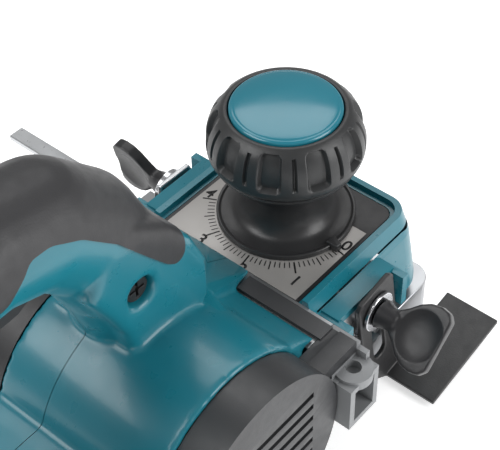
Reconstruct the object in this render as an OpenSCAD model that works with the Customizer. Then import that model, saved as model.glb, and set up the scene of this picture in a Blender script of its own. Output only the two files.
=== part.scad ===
// Electric hand planer with a depth knob, side fittings, belt drive and motor.
// Millimetres. +X is the feed direction, +Y is the left side, +Z is up.
// The origin is on the sole plane, on the centre line, midway along the body.

/* [Body] */
// overall width of both bases
base_width = 84; // [76:1:96]
// front end of the front base
front_end = 140; // [132:1:150]
// rear end of the rear base
rear_end = -140; // [-170:1:-138]
// thickness of the rear base plate
base_thick = 5; // [4:0.5:6]
// left face of the casting's side wall
wall_left = 46; // [45:0.5:48]

/* [Cutter drum] */
// drum axis along the body
drum_x = 77; // [76:0.5:80]
// radius swept by the blade edges
cut_radius = 22; // [20:0.5:22.5]
// radius of the drum's steel body
drum_radius = 20.4; // [18:0.1:20.6]
// working length of the blades
blade_length = 82; // [76:1:82]
// radius of the drum's shaft ends
drum_shaft_r = 5; // [4:0.5:6]

/* [Motor] */
// motor axis along the body
motor_x = 15; // [10:0.5:16]
// motor axis above the sole
motor_z = 45; // [44:0.5:50]
// outer radius of the motor barrel
barrel_radius = 39; // [37:0.5:39]
// wall of the motor barrel
barrel_wall = 2.6; // [2:0.1:3]
// radius of the armature shaft
motor_shaft_r = 4; // [3:0.5:5]
// pitch radius of the motor pulley
motor_pulley_r = 10; // [8:0.5:12]
// pitch radius of the drum pulley
drum_pulley_r = 11.5; // [10:0.5:13]

/* [Depth knob] */
// knob axis along the body
knob_x = 100; // [99:0.5:104]
// height of the dial plate's face
dial_z = 60; // [58:0.5:66]
// radius of the knob's foot flange
flange_radius = 25.5; // [22:0.5:27]
// radius of the knob's grip ring
grip_radius = 28; // [24:0.5:30]
// height of the cap's rim over the dial
cap_height = 50.2; // [44:0.2:56]
// radius of the coloured cap
cap_radius = 19.9; // [16:0.1:21]
// upward travel of the front base
depth_travel = 4; // [2:0.5:4]
// number of scoops around the grip ring
scoop_count = 10; // [8:1:12]

/* [Side fittings] */
// axis of both wing screws along the body
wing_x = 90; // [88:0.5:92]
// axis of both wing screws above the sole
wing_z = 49; // [47:0.5:51]
// reach of a wing from its washer
wing_reach = 26; // [20:1:30]
// free end of the fence arm
fence_end = 143; // [110:1:160]
// forward lean of the depth guide
guide_tilt = 10; // [0:1:12]

/* [Handle] */
// half width of the handle
handle_half = 18; // [16:0.5:20]
// height of the handle bar's centre line
bar_z = 144.5; // [138:0.5:150]

/* [Fits] */
// radial running clearance of steel shafts
run_clear = 0.05; // [0.02:0.01:0.1]
// clearance of sliding plastic and cast parts
slide_clear = 0.4; // [0.3:0.05:0.6]

/* [Shown part] */
// name of the part to draw, or all

/* [Hidden] */
drum_z = cut_radius;
hw = base_width / 2;
blade_right = -hw;
blade_left = blade_right + blade_length;
barrel_bore = barrel_radius - barrel_wall;
sweep_r = cut_radius + 1.3;
hood_r = cut_radius + 3.4;
wall_in = hw + slide_clear;
foot_x = rear_end + 32;
boss_r = 12.2;
guide_y = hw + 5;
teal = [0.0, 0.47, 0.52];
black = [0.12, 0.12, 0.13];
dark = [0.25, 0.26, 0.28];
pale = [0.72, 0.73, 0.74];
steel = [0.6, 0.6, 0.62];
zinc = [0.78, 0.79, 0.8];
brass = [0.75, 0.6, 0.3];
copper = [0.72, 0.4, 0.22];

// a rod along Y between two positions
module rod_y(x, z, r, y0, y1, n = 64) {
    translate([x, y1, z]) rotate([90, 0, 0]) cylinder(h = y1 - y0, r = r, $fn = n);
}

// a ring along Y between two positions
module ring_y(x, z, ro, ri, y0, y1) {
    difference() {
        rod_y(x, z, ro, y0, y1);
        rod_y(x, z, ri, y0 - 1, y1 + 1);
    }
}

// a box between two corners
module box(a, b) {
    translate(a) cube([b[0] - a[0], b[1] - a[1], b[2] - a[2]]);
}

// a rounded rectangle in plan
module plan(x0, x1, y, r, z0, z1) {
    hull() {
        for (px = [x0 + r, x1 - r]) {
            for (py = [-y + r, y - r]) {
                translate([px, py, z0]) cylinder(h = z1 - z0, r = r, $fn = 32);
            }
        }
    }
}

// ---------------------------------------------------------------- bases
base_screw_spots = [[-100, 30], [-100, -30], [-45, 30], [-45, -30]];

// cast plate behind the drum, with countersunk holes and a notch for the foot
module rear_base() {
    color(pale) difference() {
        union() {
            box([rear_end + 8, -hw, 0], [drum_x - 2, hw, base_thick]);
            box([rear_end, -hw + 8, 0], [rear_end + 20, hw - 8, base_thick]);
            for (s = [-1, 1]) {
                translate([rear_end + 8, s * (hw - 8), 0])
                    cylinder(h = base_thick, r = 8, $fn = 48);
            }
            box([rear_end + 22, hw - 4, base_thick - 0.01], [-40, hw, base_thick + 4]);
            box([rear_end + 22, -hw, base_thick - 0.01], [-40, -hw + 4, base_thick + 4]);
        }
        rod_y(drum_x, drum_z, sweep_r, -hw - 1, hw + 1);
        box([rear_end - 1, -8, -1], [foot_x + 5, 8, base_thick + 1]);
        for (p = base_screw_spots) {
            translate([p[0], p[1], -1]) cylinder(h = base_thick + 2, r = 2.6, $fn = 32);
            translate([p[0], p[1], -0.01]) cylinder(h = 3, r = 4.8, $fn = 32);
        }
    }
}

// sliding shoe ahead of the drum, with edge grooves and a threaded saddle
module front_base() {
    color(pale) difference() {
        union() {
            difference() {
                plan(drum_x + 2, front_end, hw, 8, 0, 21);
                box([drum_x, -hw - 1, 16], [drum_x + 28, hw + 1, 30]);
                box([110, -hw + 6, 6], [126, -20, 30]);
                box([110, 20, 6], [126, hw - 6, 30]);
                box([drum_x - 2, -hw - 1, -1], [drum_x + 5, hw + 1, 30]);
            }
            box([knob_x + 8, -16, 20], [knob_x + 24, 16, 48]);
            box([knob_x - 7, -16, 42.6], [knob_x + 24, 16, 48]);
        }
        rod_y(drum_x, drum_z, sweep_r, -hw - 1, hw + 1);
        rod_y(drum_x, drum_z - depth_travel, sweep_r, -hw - 1, hw + 1);
        translate([knob_x, 0, 40])
            cylinder(h = 20, r = 5 + run_clear, $fn = 48);
        for (g = [[-24, 3], [0, 4], [24, 2]]) {
            translate([drum_x, g[0], 0]) rotate([45, 0, 0])
                translate([0, -g[1] / sqrt(2) - 0.1, -g[1] / sqrt(2) - 0.1])
                cube([80, g[1] * sqrt(2), g[1] * sqrt(2)]);
        }
    }
}

// ---------------------------------------------------------------- casting
// the frame that carries the drum, the left motor bearing and the rear base
module body_frame() {
    color(pale) difference() {
        union() {
            // left side wall
            translate([0, wall_left, 0]) rotate([90, 0, 0]) linear_extrude(wall_left - wall_in)
                polygon([[-26, 9.2], [-26, 62], [2, 74], [30, 74], [50, 60], [68, 60],
                    [68, 39.5], [98, 39.5], [102.6, 30], [102.6, 12], [78, 5], [-10, 5]]);
            // bearing seats on the left
            rod_y(drum_x, drum_z, 12.6, wall_in, wall_left + 2.4);
            rod_y(motor_x, motor_z, 14, 38, wall_left);
            // hood over the drum
            difference() {
                rod_y(drum_x, drum_z, hood_r, blade_right - 0.7, wall_in + 0.6);
                box([drum_x - 40, -50, -5], [drum_x + 40, 50, drum_z]);
            }
            // arm that carries the right bearing
            box([62, -46.5, drum_z - 8], [75, -44.6, 48]);
            box([62, -46.5, 41], [75, blade_right - 0.7, 48]);
            rod_y(drum_x, drum_z, boss_r, -46.5, blade_right + 5.5);
            // cross wall and chip chamber over the drum
            box([66, -46.5, 40], [68, wall_left, dial_z]);
            box([54.2, -46.5, 57], [67, wall_left, dial_z]);
            box([54.2, -46.5, 40], [67, -43, dial_z]);
            // floor over the rear base
            box([rear_end + 22, -37.6, base_thick], [-18, 37.6, base_thick + 4]);
            box([-36, 34, base_thick], [-26, wall_left, base_thick + 5]);
            box([-36, 34, base_thick], [40, wall_left, base_thick + 1]);
            box([-30, -37.6, base_thick], [60, 37.6, base_thick + 0.8]);
            // lugs for the foot
            box([foot_x - 8, -12, base_thick], [foot_x + 8, -8.4, 18]);
            box([foot_x - 8, 8.4, base_thick], [foot_x + 8, 12, 18]);
        }
        // space swept by the drum, opened towards the chip chamber
        rod_y(drum_x, drum_z, sweep_r, blade_right - 0.75, wall_in);
        box([56, blade_right - 0.75, 30], [66, wall_in, 57]);
        // bearing seats
        rod_y(drum_x, drum_z, 11, wall_in - 1, wall_left + 1.4);
        rod_y(drum_x, drum_z, drum_shaft_r + 1.5, 40, 60);
        rod_y(drum_x, drum_z, 10.5, -45, -30);
        rod_y(motor_x, motor_z, 11, 37, 45);
        rod_y(motor_x, motor_z, motor_shaft_r + 1.5, 36, 60);
        // room for the motor barrel
        difference() {
            rod_y(motor_x, motor_z, barrel_radius + 0.3, -70, wall_in);
            rod_y(motor_x, motor_z, 14, 38, 60);
        }
        // chip window, foot notch, foot pin and base screws
        box([56, -60, 44], [65, -42, 55]);
        box([rear_end, -8.2, 4], [foot_x + 8, 8.2, 30]);
        rod_y(foot_x, 12, 2, -20, 20);
        for (p = base_screw_spots) {
            translate([p[0], p[1], 0]) cylinder(h = 20, r = 2.5, $fn = 32);
        }
    }
}

// countersunk screws that hold the rear base to the casting
module base_screws() {
    color(steel) for (p = base_screw_spots) {
        translate([p[0], p[1], 0.4]) cylinder(h = 2.59, r = 4.7, $fn = 32);
        translate([p[0], p[1], 2.9]) cylinder(h = 6, r = 2.5, $fn = 32);
    }
}

// ---------------------------------------------------------------- drum
// places children in the frame of blade slot i, with +X along the radius
module at_slot(i) {
    translate([drum_x, 0, drum_z]) rotate([0, -25 + 180 * i, 0]) children();
}

clamp_spots = [-33, -1, 31];

// solid steel cutter drum with its shaft ends and two slots
module cutter_drum() {
    color(steel) difference() {
        union() {
            rod_y(drum_x, drum_z, drum_radius, blade_right + 1, blade_left - 0.5);
            rod_y(drum_x, drum_z, drum_shaft_r, -44.6, 60.2);
        }
        difference() {
            rod_y(drum_x, drum_z, boss_r + 0.6, blade_right - 1, blade_right + 6.2);
            rod_y(drum_x, drum_z, drum_shaft_r, -60, 60);
        }
        for (i = [0, 1]) {
            at_slot(i) {
                box([13, -50, -2.5], [23, 50, 2.3]);
                for (y = clamp_spots) {
                    translate([9, y, -0.6]) rotate([0, 90, 0])
                        cylinder(h = 5, r = 1.6, $fn = 24);
                }
            }
        }
    }
}

// two thin reversible blades
module planer_blades() {
    color(zinc) for (i = [0, 1]) {
        at_slot(i) translate([0, blade_right, 0]) rotate([-90, 0, 0])
            linear_extrude(blade_length)
            polygon([[15, -1.2], [15, -2.3], [cut_radius - 1, -2.3], [cut_radius - 0.1, -1.2]]);
    }
}

// clamp bars that hold the blades in their slots
module blade_clamps() {
    color(dark) for (i = [0, 1]) {
        at_slot(i) difference() {
            union() {
                box([13, blade_right + 1, -2.5], [20, blade_left - 0.5, 1.2]);
                box([13, blade_right + 1, 1.1], [14.95, blade_left - 0.5, 2.3]);
            }
            for (y = clamp_spots) {
                translate([12, y, -0.6]) rotate([0, 90, 0]) cylinder(h = 9, r = 1.6, $fn = 24);
            }
        }
    }
}

// socket screws through the clamp bars
module blade_screws() {
    color(steel) for (i = [0, 1]) {
        for (y = clamp_spots) {
            at_slot(i) translate([9, y, -0.6]) rotate([0, 90, 0])
                difference() {
                    cylinder(h = 10.6, r = 1.6, $fn = 24);
                    translate([0, 0, 8.6]) cylinder(h = 3, r = 0.9, $fn = 6);
                }
        }
    }
}

// ball bearings at both ends of the drum, drawn as closed rings
module drum_bearings() {
    color(zinc) {
        ring_y(drum_x, drum_z, 10.5, drum_shaft_r + run_clear, -45, -37.2);
        ring_y(drum_x, drum_z, 11, drum_shaft_r + run_clear, wall_in, wall_left + 1.4);
    }
}

// pulley keyed to the drum's left shaft end
module drum_pulley() {
    color(dark) difference() {
        union() {
            rod_y(drum_x, drum_z, drum_pulley_r, 50.4, 59);
            rod_y(drum_x, drum_z, drum_pulley_r + 1.2, 50, 51);
            rod_y(drum_x, drum_z, 7.5, 48.8, 50.5);
        }
        rod_y(drum_x, drum_z, drum_shaft_r, 40, 70);
    }
}

// pulley on the armature shaft
module motor_pulley() {
    color(dark) difference() {
        union() {
            rod_y(motor_x, motor_z, motor_pulley_r, 50.4, 59);
            rod_y(motor_x, motor_z, motor_pulley_r + 1.2, 50, 51);
            rod_y(motor_x, motor_z, 6.5, 46.6, 50.5);
        }
        rod_y(motor_x, motor_z, motor_shaft_r, 40, 70);
    }
}

// endless ribbed belt around both pulleys
module drive_belt() {
    color(black) translate([0, 58.4, 0]) rotate([90, 0, 0]) linear_extrude(6.8)
        difference() {
            hull() {
                translate([motor_x, motor_z]) circle(r = motor_pulley_r + 1.8, $fn = 64);
                translate([drum_x, drum_z]) circle(r = drum_pulley_r + 1.8, $fn = 64);
            }
            hull() {
                translate([motor_x, motor_z]) circle(r = motor_pulley_r + 0.2, $fn = 64);
                translate([drum_x, drum_z]) circle(r = drum_pulley_r + 0.2, $fn = 64);
            }
        }
}

cover_screw_spots = [[44, 34], [-6, 45]];

// outline of the belt cover, grown or shrunk by g
module cover_shape(g) {
    hull() {
        translate([motor_x, motor_z]) circle(r = 25 + g, $fn = 96);
        translate([drum_x, drum_z]) circle(r = 15.4 + g, $fn = 96);
    }
}

// moulded cover over the belt and both pulleys
module belt_cover() {
    color(black) difference() {
        translate([0, 63, 0]) rotate([90, 0, 0])
            linear_extrude(63 - wall_left - 0.05) cover_shape(0);
        translate([0, 60.8, 0]) rotate([90, 0, 0]) linear_extrude(20) cover_shape(-1.8);
        for (i = [-1:4]) {
            translate([motor_x + i * 5 - 1, 60, motor_z - 10]) cube([2, 5, 20]);
        }
        for (p = cover_screw_spots) {
            rod_y(p[0], p[1], 1.8, 50, 70, 32);
        }
    }
    color(black) for (p = cover_screw_spots) {
        ring_y(p[0], p[1], 3.4, 1.8, wall_left + 0.05, 61);
    }
}

// screws through the belt cover into the casting
module belt_cover_screws() {
    color(steel) for (p = cover_screw_spots) {
        rod_y(p[0], p[1], 1.7, wall_left + 0.1, 63.1, 32);
        difference() {
            rod_y(p[0], p[1], 3.2, 63.02, 64.4, 32);
            box([p[0] - 2, 63.8, p[1] - 0.4], [p[0] + 2, 65, p[1] + 0.4]);
            box([p[0] - 0.4, 63.8, p[1] - 2], [p[0] + 0.4, 65, p[1] + 2]);
        }
    }
}

// ---------------------------------------------------------------- motor
// steel shaft of the armature
module armature_shaft() {
    color(steel) rod_y(motor_x, motor_z, motor_shaft_r, -55.5, 60);
}

// laminated core with its winding heads
module armature_core() {
    color(copper) difference() {
        union() {
            rod_y(motor_x, motor_z, 22, -14, 12);
            rod_y(motor_x, motor_z, 18, -22, 20);
        }
        rod_y(motor_x, motor_z, motor_shaft_r, -60, 60);
        for (i = [0:11]) {
            translate([motor_x, 0, motor_z]) rotate([0, i * 30, 0])
                box([19.5, -15, -1], [23, 13, 1]);
        }
    }
}

// copper commutator
module commutator() {
    color(copper) difference() {
        union() {
            rod_y(motor_x, motor_z, 12, -40, -26);
            rod_y(motor_x, motor_z, 13.5, -26, -24);
        }
        rod_y(motor_x, motor_z, motor_shaft_r, -60, 60);
    }
}

// bladed fan on the belt side
module cooling_fan() {
    color(dark) difference() {
        union() {
            rod_y(motor_x, motor_z, 33, 33, 35);
            rod_y(motor_x, motor_z, 9, 23, 35);
            for (i = [0:11]) {
                translate([motor_x, 0, motor_z]) rotate([0, i * 30, 0])
                    box([14, 25, -0.8], [32, 34, 0.8]);
            }
        }
        rod_y(motor_x, motor_z, motor_shaft_r, 0, 60);
    }
}

// ball bearings at both ends of the armature, drawn as closed rings
module motor_bearings() {
    color(zinc) {
        ring_y(motor_x, motor_z, 11, motor_shaft_r + run_clear, 38, 45);
        ring_y(motor_x, motor_z, 9.45, motor_shaft_r + run_clear, -56, -50);
    }
}

// laminated field core inside the barrel
module stator_core() {
    color(steel) ring_y(motor_x, motor_z, barrel_bore - 0.2, 23, -14, 10);
}

// field windings at both ends of the field core
module field_coils() {
    color(copper) {
        ring_y(motor_x, motor_z, 33, 24.5, -21, -14);
        ring_y(motor_x, motor_z, 33, 24.5, 10, 17);
    }
}

// brass guides for the brushes, ahead of and behind the commutator
module brush_holders() {
    color(brass) for (s = [-1, 1]) {
        translate([motor_x, -33, motor_z]) scale([s, 1, 1]) difference() {
            box([14, -5, -5], [barrel_bore - 3, 5, 5]);
            box([10, -3.5, -3.5], [40, 3.5, 3.5]);
        }
    }
}

// carbon brushes
module carbon_brushes() {
    color(black) for (s = [-1, 1]) {
        translate([motor_x, -33, motor_z]) scale([s, 1, 1])
            box([12.3, -3.4, -3.4], [27, 3.4, 3.4]);
    }
}

// slotted caps over the brush holders, in the barrel's wall
module brush_caps() {
    color(black) for (s = [-1, 1]) {
        translate([motor_x, -33, motor_z]) rotate([0, 90 * s, 0]) difference() {
            translate([0, 0, barrel_bore - 3])
                cylinder(h = barrel_wall + 2.6, r = 6.4, $fn = 48);
            translate([-5, -0.6, barrel_radius - 1.8]) cube([10, 1.2, 3]);
        }
    }
}

// vented ring around the fan, between the barrel and the casting
module fan_housing() {
    color(black) difference() {
        ring_y(motor_x, motor_z, barrel_radius, barrel_bore, 20.05, wall_in - 0.05);
        for (i = [0:5]) {
            translate([motor_x, 0, motor_z]) rotate([0, 125 + i * 11, 0])
                box([30, 26, -2], [45, 36, 2]);
        }
    }
}

// ---------------------------------------------------------------- housing
handle_path = [[20, 86, 19], [14, 104, 18.5], [4, 125, 19], [-10, 139, 19],
    [-30, bar_z, 17.5], [-56, bar_z - 1.5, 16.5], [-82, bar_z - 7, 16.5],
    [-104, 127, 17], [-118, 108, 17], [-122, 84, 16.5], [-120, 58, 17], [-114, 40, 18]];
handle_screw_spots = [[10.5, 105.5], [-84, 129], [-120, 64], [-60, 45], [-116, 30]];

// one oval station of the handle, grown by g
module oval(p, g, n) {
    translate([p[0], 0, p[1]]) scale([p[2] + g, handle_half + g, p[2] + g])
        sphere(r = 1, $fn = n);
}

// the handle's outer skin between stations a and b, grown by g
module handle_skin(a, b, g, n) {
    for (i = [a:b - 1]) {
        hull() {
            oval(handle_path[i], g, n);
            oval(handle_path[i + 1], g, n);
        }
    }
}

// barrel, handle, tail and fairing as one shell
module housing() {
    difference() {
        union() {
            rod_y(motor_x, motor_z, barrel_radius, -47, 20, 96);
            handle_skin(0, 11, 0, 24);
            // tail under the handle
            hull() {
                for (y = [-18, 18]) {
                    translate([-122, y, 9.2]) cylinder(h = 20, r = 10, $fn = 32);
                    translate([-116, y * 0.7, 9.2]) cylinder(h = 42, r = 9, $fn = 32);
                    translate([-12, y, 12]) cylinder(h = 20, r = 10, $fn = 32);
                    translate([-20, y * 0.7, 20]) cylinder(h = 38, r = 9, $fn = 32);
                }
            }
            // sloping shoulder between the front leg and the fairing
            hull() {
                oval([20, 84, 15], 0, 24);
                box([60, -10, 60.1], [67.6, 18, 61.6]);
                box([46, -12, 58], [50, 17, 60]);
            }
            box([52, 10, 60.1], [67.6, 40, 61.6]);
            // slopes from the barrel's top to the front edge
            translate([0, 19.5, 0]) rotate([90, 0, 0]) linear_extrude(30)
                polygon([[20, 62], [32, 77], [66.2, 61.5], [66.2, 60.3]]);
            translate([0, -9, 0]) rotate([90, 0, 0]) linear_extrude(37)
                polygon([[20, 62.5], [34, 76.5], [58, 61], [58, 60.4]]);
        }
        // motor room
        rod_y(motor_x, motor_z, barrel_bore, -60, 30, 96);
        box([-30, -60, -5], [67.8, 60, 9]);
        // fan ring, drum hood and chip chamber stay clear
        rod_y(motor_x, motor_z, barrel_radius + 0.2, 20, 60, 96);
        box([52, -50, 20], [70, 50, 60.05]);
        // tail room and foot pocket
        box([-108, -16, 14], [-26, 16, 40]);
        box([-145, -12.6, 5], [-96, 12.6, 19]);
        // switch room, trigger slot and lock button room
        box([-66, -11, 140], [-30, 11, 153]);
        box([-56, -7.6, 112], [-13.5, 7.6, 140.1]);
        box([-29, -6, 139.6], [-16, 11, 150]);
        rod_y(-22.5, 144.8, 4.7, 5, 30, 48);
        rod_y(-19, 133, 1.6, -11, 11, 32);
        // cord entry
        translate([-150, 0, 84]) rotate([0, 90, 0]) cylinder(h = 30, r = 7, $fn = 48);
        // brush caps
        for (a = [0, 180]) {
            translate([motor_x, -33, motor_z]) rotate([0, a, 0]) rotate([0, 90, 0])
                cylinder(h = 60, r = 6.5, $fn = 48);
        }
        // screw holes
        for (p = handle_screw_spots) {
            rod_y(p[0], p[1], 5.4, -40, -13, 48);
            rod_y(p[0], p[1], 2.4, -20, 13, 32);
        }
    }
}

// right half of the motor housing and handle
module housing_right() {
    color(teal) intersection() {
        housing();
        box([-200, -100, -10], [200, 0, 200]);
    }
}

// left half of the motor housing and handle
module housing_left() {
    color(teal) intersection() {
        housing();
        box([-200, 0, -10], [200, 100, 200]);
    }
}

// soft skin over the top and front of the handle, one piece on each half
module soft_grip() {
    color(black) for (s = [-1, 1]) {
        intersection() {
            difference() {
                handle_skin(1, 8, 1.4, 24);
                handle_skin(0, 11, 0, 24);
                rod_y(-22.5, 144.8, 7.5, 5, 30, 48);
                hull() {
                    oval([20, 84, 15], 0, 24);
                    box([60, -10, 60.1], [67.6, 18, 61.6]);
                    box([46, -12, 58], [50, 17, 60]);
                }
            }
            translate([0, s > 0 ? 60 : 0, 0]) rotate([90, 0, 0]) linear_extrude(60)
                polygon([[-104, 122], [-60, 138], [-36, 141], [-26, 149.5], [-18.4, 148.8],
                    [-8.3, 143.7], [3.5, 132.3], [14, 118.7], [21.4, 108.1], [25.7, 105.4],
                    [50, 108], [40, 150], [10, 180], [-80, 190], [-116, 150]]);
        }
    }
}

// screws that join the two halves
module handle_screws() {
    color(steel) for (p = handle_screw_spots) {
        rod_y(p[0], p[1], 2.3, -13.1, 12.8, 32);
        difference() {
            rod_y(p[0], p[1], 4.4, -15.6, -13, 32);
            box([p[0] - 3, -17, p[1] - 0.5], [p[0] + 3, -14.4, p[1] + 0.5]);
            box([p[0] - 0.5, -17, p[1] - 3], [p[0] + 0.5, -14.4, p[1] + 3]);
        }
    }
}

end_screw_spots = [[-10, 66], [-10, 24], [38, 24]];

// dark end cover of the motor with its bearing seat, and the strip over the duct
module end_cap() {
    color(dark) difference() {
        union() {
            rod_y(motor_x, motor_z, 37, -61, -47.05);
            box([40, -58, 56.5], [65.8, -47.05, 60.8]);
            box([59, -48, 60.05], [65.8, -11.6, 61.6]);
            box([40, -58, 57], [65.8, -51, 61.6]);
        }
        rod_y(motor_x, motor_z, 34, -58.5, -40);
        for (i = [-3:3]) {
            box([motor_x - 24, -62, motor_z + i * 6 - 1.2],
                [motor_x + 24, -57, motor_z + i * 6 + 1.2]);
        }
        for (p = end_screw_spots) {
            rod_y(p[0], p[1], 1.6, -70, -40, 32);
        }
    }
    color(dark) {
        ring_y(motor_x, motor_z, 13, 9.5, -58.6, -50);
        for (p = end_screw_spots) {
            ring_y(p[0], p[1], 3.4, 1.6, -58.6, -47.05);
        }
    }
}

// screws of the end cover
module end_cap_screws() {
    color(steel) for (p = end_screw_spots) {
        rod_y(p[0], p[1], 1.55, -61.5, -47.2, 32);
        rod_y(p[0], p[1], 3.2, -62.4, -61.02, 32);
    }
}

// chip outlet on the right side with a screw boss on its shoulder
module chip_duct() {
    color(pale) difference() {
        union() {
            box([52.6, -58, 33.5], [65.8, -46.8, 56.4]);
            box([52.6, -66, 33.5], [68, -58.1, 53.5]);
            box([65.9, -58, 33.5], [68, -46.8, dial_z]);
            box([52.6, -60, 33.5], [68, -57.9, 54]);
            box([65.9, -62, 33.5], [68, -46.8, 58]);
            box([65, -58, 33.5], [68, -46.8, 56.4]);
            translate([61, -60.6, 50]) cylinder(h = 5, r = 6.8, $fn = 48);
        }
        box([55.2, -70, 36], [65.6, -40, 51]);
        translate([61, -60.6, 51.5]) cylinder(h = 6, r = 2.75, $fn = 32);
        rod_y(motor_x, motor_z, 37.1, -70, -40);
    }
}

// ---------------------------------------------------------------- switch
// switch block inside the handle
module switch_body() {
    color(black) box([-66, -11, 140.1], [-30, 11, 153]);
}

// finger lever under the handle bar
module trigger() {
    color(black) difference() {
        union() {
            rod_y(-19, 133, 4, -7.2, 7.2, 48);
            translate([0, 7.2, 0]) rotate([90, 0, 0]) linear_extrude(14.4)
                polygon([[-15.6, 131], [-19, 129], [-20, 124], [-26, 121], [-40, 120.4],
                    [-50, 122], [-53, 125], [-52, 134], [-19, 137]]);
        }
        rod_y(-19, 133, 1.6 + run_clear, -20, 20, 32);
    }
}

// pin that the trigger turns on
module trigger_pin() {
    color(steel) rod_y(-19, 133, 1.6, -10.9, 10.9, 32);
}

// push button on the left of the handle that frees the trigger
module lock_button() {
    color(black) {
        rod_y(-22.5, 144.8, 4.3, 4, 20.5, 48);
        rod_y(-22.5, 144.8, 4.9, 2.5, 4.5, 48);
    }
}

// return spring behind the button
module lock_spring() {
    color(steel) translate([-22.5, -5.9, 144.8]) rotate([-90, 0, 0])
        linear_extrude(height = 8.3, twist = 360 * 4, slices = 64)
        translate([3, 0]) circle(r = 0.7, $fn = 8);
}

// sleeve where the supply cord enters the handle
module cord_gland() {
    color(black) translate([-144, 0, 84]) rotate([0, 90, 0]) difference() {
        union() {
            cylinder(h = 22, r = 6.9, $fn = 48);
            translate([0, 0, 1]) cylinder(h = 2.4, r = 8.6, $fn = 48);
        }
        translate([0, 0, -1]) cylinder(h = 30, r = 3.5, $fn = 48);
    }
}

// ---------------------------------------------------------------- front
// plan outline of the front housing: square at the back, round at the front
module fplan(y, xf, r, z0, z1, xr = 68) {
    hull() {
        box([xr, -y, z0], [xr + 2, y, z1]);
        for (s = [-1, 1]) {
            translate([xf - r, s * (y - r), z0]) cylinder(h = z1 - z0, r = r, $fn = 48);
        }
    }
}

// coloured front housing with the dial recess and a hood on each side
module front_housing() {
    color(teal) difference() {
        union() {
            hull() {
                fplan(35.5, 128.5, 8, 61.5, 62.4);
                fplan(38.5, 131, 10, 52, 53);
            }
            hull() {
                fplan(38.5, 131, 10, 52, 53);
                fplan(41, 134, 11, 26.5, 30);
            }
            for (s = [-1, 1]) {
                scale([1, s, 1]) {
                    box([73, 36, 53], [105, 45.2, 56]);
                    box([71.5, 36, 41], [74.5, 50.5, 55]);
                    box([103.5, 36, 41], [106.5, 50.5, 55]);
                }
            }
        }
        difference() {
            fplan(37.5, 130, 8, 20, 57, 71);
            // guide for the detent ball and its spring
            translate([knob_x + 18, 0, 52.2]) cylinder(h = 6, r = 5, $fn = 48);
        }
        translate([knob_x + 18, 0, 53.2]) cylinder(h = 10, r = 2.7, $fn = 48);
        fplan(31.6, 124.6, 5, 58.6, 70, 66);
        fplan(33, 126.2, 6, 60, 70, 66);
        translate([knob_x, 0, 50]) cylinder(h = 12, r = 8.4, $fn = 64);
        // room for the drum hood and the bearing arm
        rod_y(drum_x, drum_z, hood_r + 0.3, -60, 60);
        box([60, -46.9, 10], [75.4, -41, 48.4]);
        box([60, wall_in - 0.3, 10], [104, wall_left + 0.3, 40]);
        box([60, -60, 10], [71.2, 60, 47.6]);
        for (s = [-1, 1]) {
            scale([1, s, 1]) rod_y(wing_x, wing_z, 4.9, 30, 60);
        }
    }
}

// scale plate under the knob, with a raised pattern of ticks
module dial_plate() {
    color([0.7, 0.7, 0.7]) difference() {
        fplan(31.4, 124.4, 5, 58.6, dial_z, 68.1);
        translate([knob_x, 0, 50]) cylinder(h = 20, r = 8.6, $fn = 64);
        translate([knob_x + 18, 0, 50]) cylinder(h = 20, r = 2.7, $fn = 32);
        for (i = [0:4]) {
            translate([knob_x, 0, dial_z - 0.15]) rotate([0, 0, -98.7 - 36 * i])
                box([26.2, -0.25, 0], [30.8, 0.25, 1]);
        }
    }
}

// lower body of the knob: foot flange, waist and pointer
module knob_body() {
    color(black) difference() {
        union() {
            translate([knob_x, 0, dial_z]) rotate_extrude($fn = 96)
                polygon([[5, 0.2], [flange_radius, 0.2], [flange_radius, 2.4],
                    [flange_radius - 1.2, 2.4], [flange_radius - 1.8, 1.5], [20, 1.7],
                    [17, 3.2], [15.2, 6.5], [14.4, 10], [14.6, 14], [16, 18], [19, 22],
                    [23, 26], [25.6, 28.4], [26.2, 29.8], [18, 30], [18, 43.8], [5, 43.8]]);
            translate([knob_x, 0, dial_z]) rotate([0, 0, -98.7])
                box([flange_radius - 2, -1.4, 0.25], [flange_radius + 1.6, 1.4, 2.6]);
        }
        translate([knob_x, 0, dial_z - 5]) cylinder(h = 60, r = 5, $fn = 48);
    }
}

// scalloped soft ring around the knob's head
module knob_grip() {
    color(black) translate([knob_x, 0, dial_z]) difference() {
        rotate_extrude($fn = 96)
            polygon([[18, 30], [26.4, 30], [27.5, 31.4], [grip_radius, 33.5],
                [grip_radius, 38], [27.2, 42], [25.4, 45.6], [23, 48.4], [21.2, 49.6],
                [20.3, 49.6], [20, 49], [20, 43.8], [18, 43.8]]);
        for (i = [0:scoop_count - 1]) {
            rotate([0, 0, i * 360 / scoop_count - 44.8]) {
                translate([grip_radius + 9.4, 0, 33]) rotate([0, -8, 0])
                    cylinder(h = 22, r = 11, $fn = 48);
                rotate([0, 0, 180 / scoop_count])
                    box([grip_radius - 1.6, -0.9, 32], [grip_radius + 2, 0.9, 44]);
            }
        }
    }
}

// coloured cap pressed into the knob's head
module knob_cap() {
    color(teal) translate([knob_x, 0, dial_z]) rotate_extrude($fn = 96)
        polygon([[0, 43.8], [cap_radius, 43.8], [cap_radius, cap_height - 0.8],
            [cap_radius - 0.5, cap_height], [cap_radius - 1.4, cap_height + 0.5],
            [15, cap_height + 1.3], [8, cap_height + 2], [0, cap_height + 2.2]]);
}

// threaded spindle fixed in the knob
module depth_spindle() {
    color(steel) {
        translate([knob_x, 0, 43]) cylinder(h = dial_z + 43.7 - 43, r = 5, $fn = 48);
        translate([knob_x, 0, 53]) cylinder(h = 4, r = 8, $fn = 48);
    }
}

// ball that clicks under the knob's flange
module detent_ball() {
    color(steel) translate([knob_x + 18, 0, 57.7]) sphere(r = 2.4, $fn = 24);
}

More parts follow.
